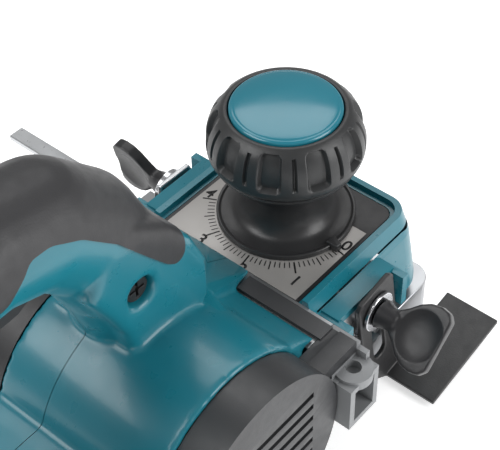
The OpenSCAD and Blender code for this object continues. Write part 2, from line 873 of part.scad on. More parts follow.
// spring under the detent ball
module detent_spring() {
    color(steel) translate([knob_x + 18, 0, 53.2])
        linear_extrude(height = 2.3, twist = 720, slices = 32)
        translate([1.8, 0]) circle(r = 0.4, $fn = 8);
}

// ---------------------------------------------------------------- side fittings
// zinc seat for a wing screw, on the side given by s
module bracket(s, pad) {
    color(zinc) scale([1, s, 1]) difference() {
        union() {
            box([76, hw + 1.2, 41], [102, hw + 3, 52.9]);
            rod_y(wing_x, wing_z, 3.9, hw + 2, hw + 3 + pad, 48);
            rod_y(wing_x, wing_z, 4.4, 38, hw + 2, 48);
        }
        rod_y(wing_x, wing_z, 3 + run_clear, 30, 60, 48);
    }
}

// right seat
module bracket_right() {
    bracket(-1, 0);
}

// left seat
module bracket_left() {
    bracket(1, 1.1);
}

// wing screw: stud, flared stem and dished wing turned by phi
module wing_screw(s, phi) {
    color(black) translate([wing_x, 0, wing_z]) scale([1, s, 1]) rotate([0, -phi, 0])
        difference() {
            union() {
                rod_y(0, 0, 3, 37, 52, 48);
                translate([0, 50.8, 0]) rotate([-90, 0, 0])
                    cylinder(h = 1.6, r = 5.6, $fn = 48);
                hull() {
                    rod_y(0, 0, 4, 51.5, 53.5, 32);
                    for (u = [-7.2, 7.2]) {
                        translate([u, 51 + wing_reach - 6.2, -2.2])
                            cylinder(h = 4.4, r = 6, $fn = 32);
                    }
                }
            }
            for (n = [1.2, -4.2]) {
                translate([0, 51 + wing_reach - 9.6, n]) cylinder(h = 3, r = 8, $fn = 48);
            }
        }
}

// right wing screw
module wing_screw_right() {
    wing_screw(-1, 41.3);
}

// left wing screw
module wing_screw_left() {
    wing_screw(1, 101.5);
}

// right washer under the wing
module wing_washer_right() {
    color(zinc) ring_y(wing_x, wing_z, 7.75, 3 + run_clear, -50.7, -49.3);
}

// left washer under the wing
module wing_washer_left() {
    color(zinc) ring_y(wing_x, wing_z, 7.75, 3 + run_clear, 48.2, 50.7);
}

// shouldered bush on the right stud that the guide's slot rides on
module guide_bush() {
    color(steel) difference() {
        union() {
            rod_y(wing_x, wing_z, 7, -(guide_y - 0.1), -(hw + 3.25), 48);
            rod_y(wing_x, wing_z, 3.4, -49.2, -(guide_y - 0.2), 48);
        }
        rod_y(wing_x, wing_z, 3 + run_clear, -60, -40, 48);
    }
}

// black rabbet depth guide: slotted arm and foot
module depth_guide() {
    color(black) translate([wing_x, 0, wing_z]) rotate([0, -guide_tilt, 0]) union() {
        translate([0, -guide_y, 0]) rotate([90, 0, 0]) linear_extrude(2) difference() {
            polygon([[-9, 9], [-7, 11], [9, 11], [11, 9], [11, -30], [13, -47],
                [2, -49], [-9, -38]]);
            translate([-3.5, -27]) square([7, 30.5]);
            translate([0, -27]) circle(r = 3.5, $fn = 48);
            translate([0, 3.5]) circle(r = 3.5, $fn = 48);
        }
        box([2, -70.5, -49], [46, -guide_y, -47]);
    }
}

// fence arm: slotted tab under the left wing screw and a flat bar to the left
module fence_arm() {
    color(zinc) {
        translate([0, 48.15, 0]) rotate([90, 0, 0]) linear_extrude(2) difference() {
            polygon([[82, 57], [98, 57], [100.2, 52], [100.2, 14.5], [92.7, 14.5],
                [92.7, 39], [82, 42.2]]);
            translate([wing_x, wing_z]) circle(r = 3.4, $fn = 48);
        }
        box([92.7, 46.15, 14.5], [100.2, fence_end + 8.5, 17]);
    }
}

// fence face that slides along the bar
module fence_plate() {
    color(pale) difference() {
        union() {
            box([-24, 66, 2], [78, 68.5, 26]);
            box([74, 66, 8], [104, 76, 21]);
        }
        box([92.7 - slide_clear, 60, 14.5 - slide_clear],
            [100.2 + slide_clear, 90, 17 + slide_clear]);
    }
}

// thin guard over the drum's right end, turning on the bearing boss
module blade_guard() {
    color(black) difference() {
        union() {
            rod_y(drum_x, drum_z, 15, -44.3, -43.1);
            intersection() {
                rod_y(drum_x, drum_z, 21.4, -44.3, -43.1);
                box([drum_x - 30, -50, -5], [drum_x + 30, -40, drum_z - 9]);
            }
        }
        rod_y(drum_x, drum_z, boss_r + 0.3, -60, -30);
    }
}

// ---------------------------------------------------------------- foot
// folding foot that keeps the blades off the bench
module rear_foot() {
    color(black) difference() {
        union() {
            rod_y(foot_x, 12, 4, -7.6, 7.6, 48);
            box([foot_x - 29, -7, 5.6], [foot_x, 7, 10]);
            box([foot_x - 29, -7, 0.6], [foot_x - 23, 7, 10]);
        }
        rod_y(foot_x, 12, 2 + run_clear, -20, 20, 48);
    }
}

// pin of the foot
module foot_pin() {
    color(steel) rod_y(foot_x, 12, 2, -12, 12, 48);
}

rear_base();
front_base();
body_frame();
base_screws();
cutter_drum();
planer_blades();
blade_clamps();
blade_screws();
drum_bearings();
drum_pulley();
motor_pulley();
drive_belt();
belt_cover();
belt_cover_screws();
armature_shaft();
armature_core();
commutator();
cooling_fan();
motor_bearings();
stator_core();
field_coils();
brush_holders();
carbon_brushes();
brush_caps();
fan_housing();
housing_right();
housing_left();
soft_grip();
handle_screws();
end_cap();
end_cap_screws();
chip_duct();
switch_body();
trigger();
trigger_pin();
lock_button();
lock_spring();
cord_gland();
front_housing();
dial_plate();
knob_body();
knob_grip();
knob_cap();
depth_spindle();
detent_ball();
detent_spring();
bracket_right();
bracket_left();
wing_screw_right();
wing_screw_left();
wing_washer_right();
wing_washer_left();
guide_bush();
depth_guide();
fence_arm();
fence_plate();
blade_guard();
rear_foot();
foot_pin();
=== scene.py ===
import math

import bpy
from mathutils import Matrix, Vector


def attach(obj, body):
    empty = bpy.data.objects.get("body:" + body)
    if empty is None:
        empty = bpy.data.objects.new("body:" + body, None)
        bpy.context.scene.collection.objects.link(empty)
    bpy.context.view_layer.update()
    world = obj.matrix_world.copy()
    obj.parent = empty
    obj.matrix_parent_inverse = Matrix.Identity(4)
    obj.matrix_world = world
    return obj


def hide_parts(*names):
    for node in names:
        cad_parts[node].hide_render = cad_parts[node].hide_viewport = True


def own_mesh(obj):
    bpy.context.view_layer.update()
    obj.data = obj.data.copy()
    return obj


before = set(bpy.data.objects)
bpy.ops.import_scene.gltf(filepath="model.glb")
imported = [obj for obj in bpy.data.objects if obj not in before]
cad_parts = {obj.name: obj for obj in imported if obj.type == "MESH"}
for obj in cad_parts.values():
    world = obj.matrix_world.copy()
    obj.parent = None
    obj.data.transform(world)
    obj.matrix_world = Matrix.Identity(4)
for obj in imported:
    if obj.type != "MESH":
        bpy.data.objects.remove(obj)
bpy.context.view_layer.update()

# ---------------------------------------------------------------------------
# The cast soles. The rear sole and the sliding front shoe are aluminium
# castings, milled flat underneath and left slightly grained on the sides. The
# frame between them carries the drum, and four screws hold the rear sole.


def rest():
    """Object mode with nothing selected."""
    if bpy.context.object and bpy.context.object.mode != "OBJECT":
        bpy.ops.object.mode_set(mode="OBJECT")
    bpy.ops.object.select_all(action="DESELECT")


def pick(*objs):
    """Only these objects selected, the first one active."""
    rest()
    for o in objs:
        o.select_set(True)
    bpy.context.view_layer.objects.active = objs[0]


def edit(o, kind="FACE", test=None):
    """Edit mode on o, with the elements that pass the test selected."""
    pick(o)
    wanted = kind == "VERT"
    bpy.context.tool_settings.mesh_select_mode = (wanted, False, not wanted)
    items = o.data.vertices if wanted else o.data.polygons
    chosen = [bool(test is None or test(i)) for i in items]
    for group in (o.data.vertices, o.data.edges, o.data.polygons):
        for i in group:
            i.select = False
    for i, on in zip(items, chosen):
        i.select = on
    bpy.ops.object.mode_set(mode="EDIT")


def outward(o):
    """Every face's normal turned outward."""
    edit(o)
    bpy.ops.mesh.select_all(action="SELECT")
    bpy.ops.mesh.normals_make_consistent(inside=False)
    rest()


def smooth(o, angle):
    """Smooth shading, with a sharp edge wherever faces meet above this angle."""
    pick(o)
    bpy.ops.object.shade_smooth_by_angle(angle=math.radians(angle))


def tidy_mesh(o, angle=35, gap=0.00001, flat=2.0):
    """Doubles merged, flat faces joined, normals outward, smooth by angle."""
    edit(o)
    bpy.ops.mesh.select_all(action="SELECT")
    bpy.ops.mesh.remove_doubles(threshold=gap)
    if flat:
        bpy.ops.mesh.dissolve_limited(angle_limit=math.radians(flat))
    bpy.ops.mesh.normals_make_consistent(inside=False)
    rest()
    smooth(o, angle)


def apply(o, kind, **values):
    """Adds a modifier with these values and applies it."""
    pick(o)
    m = o.modifiers.new(kind.lower(), kind)
    for k, v in values.items():
        setattr(m, k, v)
    bpy.ops.object.modifier_apply(modifier=m.name)


def twin(src):
    """A second object with its own mesh, in the scene."""
    o = src.copy()
    o.data = src.data.copy()
    bpy.context.scene.collection.objects.link(o)
    return o


def copy_of(*names):
    """A loose copy of one or more frame nodes as one object."""
    made = []
    for n in names:
        o = twin(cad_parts[n])
        o.parent = None
        for k in list(o.keys()):
            del o[k]
        made.append(o)
    pick(*made)
    if len(made) > 1:
        bpy.ops.object.join()
    o = bpy.context.view_layer.objects.active
    rest()
    return o


def settle(o, name, finish, body, nodes=()):
    """Names a piece, gives it its finish and puts it on its body."""
    o.name = name
    o.data.name = name
    o.data.materials.clear()
    o.data.materials.append(finish)
    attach(o, body)
    if nodes:
        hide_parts(*nodes)
    return o


def eased(node, name, ease, finish, body="frame", angle=35, segments=2, flat=2.0):
    """A copy of a node with every sharp edge rounded by ease millimetres."""
    o = copy_of(node)
    tidy_mesh(o, angle, flat=flat)
    apply(
        o,
        "BEVEL",
        width=ease / 1000,
        segments=segments,
        limit_method="ANGLE",
        angle_limit=math.radians(angle),
        use_clamp_overlap=True,
        miter_outer="MITER_ARC",
    )
    smooth(o, 40)
    return settle(o, name, finish, body, [node])


def tint(r, g, b):
    """A colour given in screen values of 0 to 255."""
    parts = [c / 255 for c in (r, g, b)]
    return [c / 12.92 if c < 0.04 else ((c + 0.055) / 1.055) ** 2.4 for c in parts] + [1]


def surface(
    name,
    colour,
    rough,
    metal=0.0,
    spread=0.14,
    cloud=45.0,
    grain=2200.0,
    rise=0.02,
    wear=0.12,
    stretch=(1, 1, 1),
    coat=0.0,
):
    """A node finish: clouded colour, grained bump, uneven gloss, rubbed edges."""
    m = bpy.data.materials.new(name)
    m.use_nodes = True
    n, link = m.node_tree.nodes, m.node_tree.links.new
    s = n["Principled BSDF"]
    s.inputs["Metallic"].default_value = metal
    s.inputs["Coat Weight"].default_value = coat
    s.inputs["Coat Roughness"].default_value = 0.12
    s.inputs["Specular IOR Level"].default_value = 0.5
    where = n.new("ShaderNodeTexCoord")
    turn = n.new("ShaderNodeMapping")
    turn.inputs["Scale"].default_value = stretch
    link(where.outputs["Object"], turn.inputs["Vector"])

    def noise(scale, detail, vector):
        t = n.new("ShaderNodeTexNoise")
        t.inputs["Scale"].default_value = scale
        t.inputs["Detail"].default_value = detail
        link(vector, t.inputs["Vector"])
        return t.outputs["Fac"]

    def span(value, a, b, c, d):
        r = n.new("ShaderNodeMapRange")
        for key, v in zip(("From Min", "From Max", "To Min", "To Max"), (a, b, c, d)):
            r.inputs[key].default_value = v
        link(value, r.inputs["Value"])
        return r.outputs["Result"]

    def blend(amount, first, second):
        x = n.new("ShaderNodeMix")
        x.data_type = "RGBA"
        link(amount, x.inputs[0])
        for socket, v in ((x.inputs[6], first), (x.inputs[7], second)):
            if hasattr(v, "is_linked"):
                link(v, socket)
            else:
                socket.default_value = v
        return x.outputs[2]

    low = [c * (1 - spread) for c in colour[:3]] + [1]
    high = [min(1, c * (1 + spread)) for c in colour[:3]] + [1]
    clouds = noise(cloud, 3, where.outputs["Object"])
    base = blend(span(clouds, 0.3, 0.7, 0, 1), low, high)
    fine = noise(grain, 2, turn.outputs["Vector"])
    if wear:
        shape = n.new("ShaderNodeNewGeometry")
        edge = span(shape.outputs["Pointiness"], 0.52, 0.62, 0, wear)
        pale = [min(1, c * 1.6 + 0.05) for c in colour[:3]] + [1]
        base = blend(edge, base, pale)
    link(base, s.inputs["Base Color"])
    patchy = noise(cloud * 6, 4, turn.outputs["Vector"])
    link(span(patchy, 0.3, 0.7, rough * 0.88, min(1, rough * 1.12)), s.inputs["Roughness"])
    bump = n.new("ShaderNodeBump")
    bump.inputs["Strength"].default_value = rise * 10
    bump.inputs["Distance"].default_value = 0.0001
    link(fine, bump.inputs["Height"])
    link(bump.outputs["Normal"], s.inputs["Normal"])
    return m


cast = surface("cast aluminium", tint(168, 170, 172), 0.36, 0.85, 0.06, 30, 3000, 0.03, 0.2)
milled = surface(
    "milled aluminium", tint(182, 184, 187), 0.3, 0.9, 0.05, 30, 1600, 0.03, 0.15, (0.06, 1, 1)
)
steel = surface("bright steel", tint(190, 192, 196), 0.24, 1.0, 0.05, 60, 2500, 0.012, 0.1)
dark_steel = surface("blackened steel", tint(66, 66, 68), 0.4, 0.8, 0.1, 60, 2500, 0.02, 0.2)

eased("rear_base", "rear_sole", 0.4, milled)
eased("front_base", "front_shoe", 0.4, milled, "shoe")
eased("body_frame", "cast_frame", 0.4, cast)
eased("base_screws", "sole_screws", 0.2, dark_steel)

# ---------------------------------------------------------------------------
# The cutter drum. A turned alloy drum with two thin double-edged knives, each
# under a screwed clamp, runs in two small bearings, with a ribbed pulley on
# its left end.

alloy = surface(
    "drum alloy", tint(150, 152, 156), 0.3, 0.9, 0.08, 40, 1800, 0.03, 0.15, (1, 0.1, 1)
)
knife = surface("knife steel", tint(205, 207, 212), 0.18, 1.0, 0.04, 70, 3000, 0.01, 0.1)

eased("cutter_drum", "drum", 0.3, alloy, "drum")
eased("planer_blades", "knives", 0.08, knife, "drum")
eased("blade_clamps", "knife_clamps", 0.2, steel, "drum")
eased("blade_screws", "clamp_screws", 0.15, dark_steel, "drum")
eased("drum_pulley", "large_pulley", 0.15, alloy, "drum")
eased("drum_bearings", "drum_races", 0.2, steel)

# ---------------------------------------------------------------------------
# The motor. Laminated steel cores with copper windings, a copper commutator
# and carbon brushes in brass holders. The armature drives a small pulley and
# a fan that blows along the barrel.

core = surface(
    "laminated iron", tint(92, 92, 96), 0.45, 0.8, 0.1, 60, 1500, 0.05, 0.1, (0.1, 1, 0.1)
)
copper = surface("lacquered copper", tint(176, 96, 48), 0.3, 0.9, 0.12, 80, 1400, 0.06, 0.1)
brass = surface("brass", tint(188, 152, 80), 0.3, 1.0, 0.08, 80, 2400, 0.02, 0.1)
carbon = surface("brush carbon", tint(40, 40, 42), 0.7, 0.0, 0.1, 90, 2600, 0.04, 0.0)
nylon = surface("fan nylon", tint(48, 48, 50), 0.45, 0.0, 0.1, 60, 2200, 0.03, 0.1)
belt = surface("belt rubber", tint(34, 34, 35), 0.7, 0.0, 0.1, 60, 2000, 0.06, 0.0)

eased("armature_shaft", "armature_axle", 0.2, steel, "armature")
eased("armature_core", "armature_stack", 0.2, core, "armature")
eased("commutator", "commutator_bars", 0.1, copper, "armature")
eased("cooling_fan", "fan", 0.2, nylon, "armature")
eased("motor_pulley", "small_pulley", 0.15, alloy, "armature")
eased("motor_bearings", "motor_races", 0.2, steel)
eased("stator_core", "stator_stack", 0.3, core)
eased("field_coils", "windings", 0.4, copper)
eased("brush_holders", "brush_tubes", 0.1, brass)
eased("carbon_brushes", "brushes", 0.1, carbon)
eased("drive_belt", "belt", 0.1, belt)

# ---------------------------------------------------------------------------
# Covers round the motor. Black and grey mouldings screwed on each end: the
# belt cover and fan ring on the left, the vented end cover with its long rib
# on the right, and the pale chip duct with a hose boss on its corner.

black = surface("black moulding", tint(38, 38, 40), 0.42, 0.0, 0.1, 50, 2600, 0.03, 0.18)
dark = surface("dark grey moulding", tint(52, 53, 55), 0.4, 0.0, 0.1, 50, 2600, 0.03, 0.22)
pale = surface("light grey moulding", tint(134, 136, 138), 0.42, 0.0, 0.07, 50, 2600, 0.03, 0.15)

eased("fan_housing", "fan_ring", 0.4, black)
eased("belt_cover", "side_cover", 1.0, black, segments=3)
eased("belt_cover_screws", "cover_screws", 0.15, steel)
eased("brush_caps", "brush_plugs", 0.3, black)
eased("end_cap", "end_cover", 0.9, dark, segments=3)
eased("end_cap_screws", "end_screws", 0.15, steel)
eased("chip_duct", "duct", 1.2, pale, segments=4)

# ---------------------------------------------------------------------------
# The motor housing and handle. Two glossy nylon halves meet on the centre
# line, held by screws in deep sockets. The skin flows from the barrel into
# the front leg with short fillets. A soft black grip is moulded over the top.

teal = surface(
    "teal nylon", tint(24, 116, 132), 0.3, 0.0, 0.07, 25, 2600, 0.012, 0.1, coat=0.25
)
soft = surface("soft grip rubber", tint(46, 46, 48), 0.5, 0.0, 0.08, 40, 1700, 0.05, 0.12)


def slab(outline, y0, y1, ease, angle=12):
    """A side-view outline in millimetres given thickness and rounded edges."""
    bpy.ops.object.select_all(action="DESELECT")
    bpy.ops.mesh.primitive_circle_add(vertices=len(outline), radius=0.01)
    o = bpy.context.object
    for v, (x, z) in zip(o.data.vertices, outline):
        v.co = (x / 1000, y0 / 1000, z / 1000)
    edit(o, "VERT")
    bpy.ops.mesh.edge_face_add()
    bpy.ops.mesh.extrude_region_move(TRANSFORM_OT_translate={"value": (0, (y1 - y0) / 1000, 0)})
    bpy.ops.mesh.select_all(action="SELECT")
    bpy.ops.mesh.normals_make_consistent(inside=False)
    rest()
    if ease:
        apply(
            o,
            "BEVEL",
            width=ease / 1000,
            segments=4,
            limit_method="ANGLE",
            angle_limit=math.radians(angle),
        )
    return o


# a flat cheek thickens the front leg, with the deep socket of its screw
cheek_outline = [
    (-9, 116), (-2, 103), (3, 92), (5, 80), (32, 76), (41, 80),
    (40, 96), (34, 110), (24, 122), (12, 131), (-2, 130),
]
cheek_half = 17.9
cheek = slab(cheek_outline, -cheek_half, cheek_half, 3.0, 50)
bpy.ops.object.select_all(action="DESELECT")
bpy.ops.mesh.primitive_cylinder_add(
    vertices=48,
    radius=0.0054,
    depth=0.02,
    location=(0.0105, -0.0228, 0.1055),
    rotation=(math.pi / 2, 0, 0),
)
socket = bpy.context.object
apply(cheek, "BOOLEAN", operation="DIFFERENCE", object=socket, solver="EXACT")
bpy.data.objects.remove(socket)
shell = copy_of("housing_right", "housing_left")
tidy_mesh(shell, flat=0)
pick(shell, cheek)
bpy.ops.object.join()
apply(shell, "REMESH", mode="VOXEL", voxel_size=0.0010, adaptivity=0.0)
apply(shell, "SMOOTH", factor=0.5, iterations=4)
# the fairing's flank is cut back so that the barrel's top runs past it; the
# cut narrows toward the handle
flank_top, flank_bottom, narrow_side = 96, 61.0, -0.0135
flank = slab(
    [(38, 75.4), (69, flank_bottom), (69, flank_top), (38, flank_top)], -24, 9.5, 0
)
for v in flank.data.vertices:
    if v.co.x < 0.05 and v.co.y > 0:
        v.co.y = narrow_side
apply(shell, "BOOLEAN", operation="DIFFERENCE", object=flank, solver="EXACT")
bpy.data.objects.remove(flank)
apply(shell, "SMOOTH", factor=0.5, iterations=3)
skin = twin(shell)
half_seam = 0.00012
for side, hand in ((-1, "right"), (1, "left")):
    half = twin(shell)
    edit(half)
    bpy.ops.mesh.select_all(action="SELECT")
    bpy.ops.mesh.bisect(
        plane_co=(0, side * half_seam, 0),
        plane_no=(0, -side, 0),
        clear_inner=False,
        clear_outer=True,
    )
    rest()
    smooth(half, 60)
    settle(half, "housing_half_" + hand, teal, "frame", ["housing_" + hand])
bpy.data.objects.remove(shell)

# the soft pad: the skin's outside raised by under a millimetre, in one region
pad_outline = [
    (-104, 122), (-60, 138), (-36, 141), (-26, 149.5), (-18.4, 148.8), (-8.3, 143.7),
    (3.5, 132.3), (14, 118.7), (21.4, 109.4), (25.2, 106.8), (28.2, 108.4),
    (29.4, 112.6), (29.6, 116.6), (34, 119.6), (50, 121), (40, 150), (10, 180),
    (-80, 190), (-116, 150),
]
region = slab(pad_outline, -30, 30, 2.2)
apply(skin, "DISPLACE", strength=0.0009, mid_level=0.0)
tidy_mesh(region, flat=0)
edit(skin)
bpy.ops.mesh.select_all(action="SELECT")
bpy.ops.mesh.bisect(
    plane_co=(0, 0, 0.1), plane_no=(0, 0, 1), use_fill=True, clear_inner=True
)
outward(skin)
apply(skin, "BOOLEAN", operation="INTERSECT", object=region, solver="EXACT")
bpy.data.objects.remove(region)
smooth(skin, 40)
settle(skin, "soft_pad", soft, "frame", ["soft_grip"])

oxide = surface("black oxide", tint(26, 26, 27), 0.5, 0.2, 0.1, 60, 2500, 0.02, 0.05)
eased("handle_screws", "joining_screws", 0.2, oxide)
eased("switch_body", "switch_block", 0.4, black)
eased("trigger", "trigger_lever", 1.0, black, "trigger", segments=3)
eased("trigger_pin", "trigger_axle", 0.2, steel)
eased("lock_button", "lock_stud", 0.6, black, "lock_button", segments=3)
coil = eased("lock_spring", "lock_coil", 0.05, steel)
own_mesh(coil)
eased("cord_gland", "cord_sleeve", 0.5, soft)

# ---------------------------------------------------------------------------
# The front housing and its dial. A teal moulding with chamfered shoulders
# and a raised rim round a sunk black plate, with a light grey scale inlay
# printed with ticks and the numbers 0 to 4.

eased("front_housing", "front_shell", 0.4, teal)
eased("dial_plate", "dial_base", 0.3, black)

inlay_grey = surface("dial grey", tint(168, 165, 162), 0.36, 0.3, 0.05, 30, 2600, 0.01, 0.0)
ink = surface("dial ink", tint(24, 24, 25), 0.5, 0.0, 0.1, 60, 2600, 0.01, 0.0)


def dial_point(r, w, turn):
    """X and y in metres, r out from the knob's axis and w to the side of it."""
    return (
        (100 + r * math.cos(turn) - w * math.sin(turn)) / 1000,
        (r * math.sin(turn) + w * math.cos(turn)) / 1000,
    )


def fresh(kind, **values):
    """A new primitive of this kind at the origin."""
    bpy.ops.object.select_all(action="DESELECT")
    getattr(bpy.ops.mesh, "primitive_" + kind + "_add")(location=(0, 0, 0), **values)
    return bpy.context.object


inlay = fresh("cube", size=1)
for v in inlay.data.vertices:
    v.co = (
        0.0682 if v.co.x < 0 else 0.109,
        -0.0300 if v.co.y < 0 else 0.0300,
        0.05995 if v.co.z < 0 else 0.06006,
    )
apply(inlay, "BEVEL", width=0.0011, segments=3, limit_method="ANGLE")
tidy_mesh(inlay)
settle(inlay, "dial_inlay", inlay_grey, "frame")

# forty steps of a tenth of a millimetre, a longer tick at each half and whole
zero_turn, tick_step, tick_start, ink_height = -98.7, 3.6, 26.2, 0.06007
whole_tick, half_tick, small_tick = (5.3, 0.6), (3.8, 0.42), (2.6, 0.34)
marks = []
for i in range(41):
    long, wide = whole_tick if i % 10 == 0 else half_tick if i % 5 == 0 else small_tick
    tick = fresh("plane", size=1)
    a = math.radians(zero_turn - tick_step * i)
    for v in tick.data.vertices:
        r = tick_start + (long if v.co.x > 0 else 0)
        w = wide / 2 * (1 if v.co.y > 0 else -1)
        v.co = (*dial_point(r, w, a), ink_height)
    marks.append(tick)
numerals = (
    ("0", 99.5, -28.2),
    ("1", 74.9, -24.5),
    ("2", 67.4, -6.1),
    ("3", 69.3, 14.2),
    ("4", 89.1, 27.4),
)
for text, x, y in numerals:
    bpy.ops.object.select_all(action="DESELECT")
    bpy.ops.object.text_add(location=(0, 0, 0))
    t = bpy.context.object
    t.data.body = text
    t.data.size = 0.0068
    t.data.align_x = "CENTER"
    t.data.align_y = "CENTER"
    t.data.offset = 0.0001
    bpy.ops.object.convert(target="MESH")
    t = bpy.context.object
    place = Matrix.Translation((x / 1000, y / 1000, ink_height))
    t.data.transform(place @ Matrix.Rotation(math.radians(-90), 4, "Z"))
    marks.append(t)
pick(*marks)
bpy.ops.object.join()
marks = bpy.context.object
edit(marks)
bpy.ops.mesh.select_all(action="SELECT")
bpy.ops.mesh.extrude_region_move(TRANSFORM_OT_translate={"value": (0, 0, 0.00006)})
outward(marks)
settle(marks, "dial_marks", ink, "frame")

# ---------------------------------------------------------------------------
# The depth knob. A black turned foot with a waist, a pointer lug and a soft
# ring with ten finger scoops and ten thin slits, closed by a glossy domed
# teal cap. A threaded spindle under it lifts the front shoe.


def curve_through(points, steps):
    """Points along a smooth line through the given ones."""
    out = []
    last = len(points) - 1
    for i in range(last):
        p0, p1 = Vector(points[max(i - 1, 0)]), Vector(points[i])
        p2, p3 = Vector(points[i + 1]), Vector(points[min(i + 2, last)])
        for k in range(steps):
            t = k / steps
            second, third = 2 * p0 - 5 * p1 + 4 * p2 - p3, 3 * p1 - p0 - 3 * p2 + p3
            out.append(0.5 * (2 * p1 + (p2 - p0) * t + second * t**2 + third * t**3))
    return [tuple(p) for p in out] + [tuple(points[-1])]


def turned(outline, steps, centre=(0.1, 0.0, 0.06)):
    """A closed outline of (radius, height) in millimetres spun round Z."""
    bpy.ops.object.select_all(action="DESELECT")
    bpy.ops.mesh.primitive_circle_add(vertices=len(outline), radius=0.01)
    o = bpy.context.object
    for v, (r, z) in zip(o.data.vertices, outline):
        v.co = (centre[0] + r / 1000, centre[1], centre[2] + z / 1000)
    edit(o, "VERT")
    bpy.ops.mesh.spin(steps=steps, dupli=False, angle=math.tau, center=centre, axis=(0, 0, 1))
    bpy.ops.mesh.select_all(action="SELECT")
    bpy.ops.mesh.remove_doubles(threshold=0.000004)
    bpy.ops.mesh.normals_make_consistent(inside=False)
    rest()
    smooth(o, 32)
    return o


knob_black = surface("knob black", tint(44, 44, 45), 0.34, 0.0, 0.08, 60, 3200, 0.02, 0.16)
ring_black = surface("knob ring rubber", tint(46, 47, 48), 0.38, 0.0, 0.08, 60, 3600, 0.035, 0.25)
cap_teal = surface("cap teal", tint(20, 116, 134), 0.2, 0.0, 0.05, 25, 2600, 0.004, 0.25, coat=0.5)

# the foot, upward along its outside: flange, waist, then the seat of the ring
foot = [
    (5.05, 0.2), (25.3, 0.2), (25.5, 0.4), (25.5, 2.1),
    (25.3, 2.35), (24.9, 2.4), (24.5, 2.25), (24.2, 1.8),
]
waist_line = [
    (23.8, 1.6), (21.5, 1.75), (18.6, 2.5), (16.6, 4.3), (15.2, 7), (14.45, 10.5),
    (14.6, 14.5), (16, 18.2), (18.6, 21.6), (22.2, 24.6), (25.0, 27.3),
]
foot += curve_through(waist_line, 4)
foot += [(26.0, 28.6), (26.15, 29.4), (25.4, 29.9), (18, 29.95), (18, 43.75), (5.05, 43.75)]
waist = turned(foot, 120)
settle(waist, "knob_foot", knob_black, "knob", ["knob_body"])

# the pointer: a tapered lug on the flange that stands at the dial's zero
lug = fresh("cube", size=1)
lug_tip, lug_root = (28.0, 1.3), (23.4, 2.1)
for v in lug.data.vertices:
    r, half_wide = lug_tip if v.co.x > 0 else lug_root
    z = 3.3 if v.co.z > 0 else 0.3
    side = 1 if v.co.y > 0 else -1
    v.co = (*dial_point(r, half_wide * side, math.radians(zero_turn)), (60 + z) / 1000)
apply(lug, "BEVEL", width=0.00035, segments=3, limit_method="ANGLE")
tidy_mesh(lug, flat=0)
settle(lug, "knob_pointer", knob_black, "knob")

flank_line = [
    (25.9, 30.05), (26.6, 30.5), (27.2, 31.2), (27.6, 32.0), (27.95, 33.6), (28.0, 36),
    (27.85, 38.6), (27.3, 41.4), (26.3, 44.2), (24.9, 46.6), (23.2, 48.4), (21.8, 49.4),
    (20.9, 49.6), (20.3, 49.45),
]
ring_line = [(18.1, 30.05)] + curve_through(flank_line, 5)
ring = turned(ring_line + [(20.05, 48.8), (20.05, 43.85), (18.1, 43.85)], 480)
# ten scoops with one slit between each two, pressed in toward the axis; all
# sizes are in millimetres, those round the ring measured along its skin
pitch, first_scoop, skin_radius = math.tau / 10, math.radians(-44.8), 27.5
scoop_mid, scoop_half_wide, scoop_half_tall, scoop_corner = 41.5, 2.3, 4.9, 2.0
scoop_deep, scoop_slope = 2.3, 0.9
slit_half_wide, slit_slope, slit_half_tall, slit_end, slit_deep = 0.75, 0.35, 5.9, 0.6, 1.5
for v in ring.data.vertices:
    x, y, z = (v.co.x - 0.1) * 1000, v.co.y * 1000, v.co.z * 1000 - 60
    r = math.hypot(x, y)
    if r < 21.5 or not 33 < z < 49.2:
        continue
    turn = math.atan2(y, x) - first_scoop
    near = (turn + pitch / 2) % pitch - pitch / 2
    u, h = abs(near * skin_radius), abs(z - scoop_mid)
    past = Vector((max(u - scoop_half_wide, 0), max(h - scoop_half_tall, 0)))
    out = past.length - scoop_corner
    deep = 0.0
    if out < 0:
        t = min(1, -out / scoop_slope)
        deep = scoop_deep * t * t * (3 - 2 * t)
    u2 = abs((turn % pitch - pitch / 2) * skin_radius)
    if u2 < slit_half_wide and h < slit_half_tall:
        inward = min(1, (slit_half_wide - u2) / slit_slope)
        ends = min(1, (slit_half_tall - h) / slit_end)
        deep = max(deep, slit_deep * inward * ends)
    if deep:
        k = (r - deep) / r
        v.co.x, v.co.y = 0.1 + x * k / 1000, y * k / 1000
outward(ring)
smooth(ring, 50)
settle(ring, "knob_ring", ring_black, "knob", ["knob_grip"])

dome = [(0, 43.85), (19.7, 43.85), (19.75, 49.3), (19.6, 49.9), (19.2, 50.3), (18.7, 50.45)]
crown = [(18.3, 50.5), (17.6, 50.75), (15, 51.3), (10, 51.95), (5, 52.25), (0, 52.35)]
dome += curve_through(crown, 4)
cap = turned(dome, 120)
settle(cap, "knob_button", cap_teal, "knob", ["knob_cap"])

eased("depth_spindle", "spindle", 0.3, steel, "knob")
eased("detent_ball", "click_ball", 0.05, steel, flat=0)
eased("detent_spring", "click_spring", 0.02, steel, flat=0)

# ---------------------------------------------------------------------------
# The side fittings. Zinc seats hold a wing screw on each side, with pressed
# steel washers. The right one clamps the black rabbet guide, the left one
# the plated fence bar with its sliding face.

zinc = surface("plated zinc", tint(196, 198, 200), 0.3, 0.95, 0.06, 60, 2400, 0.02, 0.15)
washer = surface("pressed washer", tint(206, 207, 210), 0.18, 1.0, 0.04, 60, 2600, 0.01, 0.1)
guide_black = surface("guide enamel", tint(40, 40, 41), 0.42, 0.0, 0.1, 40, 1500, 0.05, 0.3)
wing_black = surface("wing black", tint(40, 40, 42), 0.36, 0.0, 0.08, 60, 3000, 0.02, 0.2)

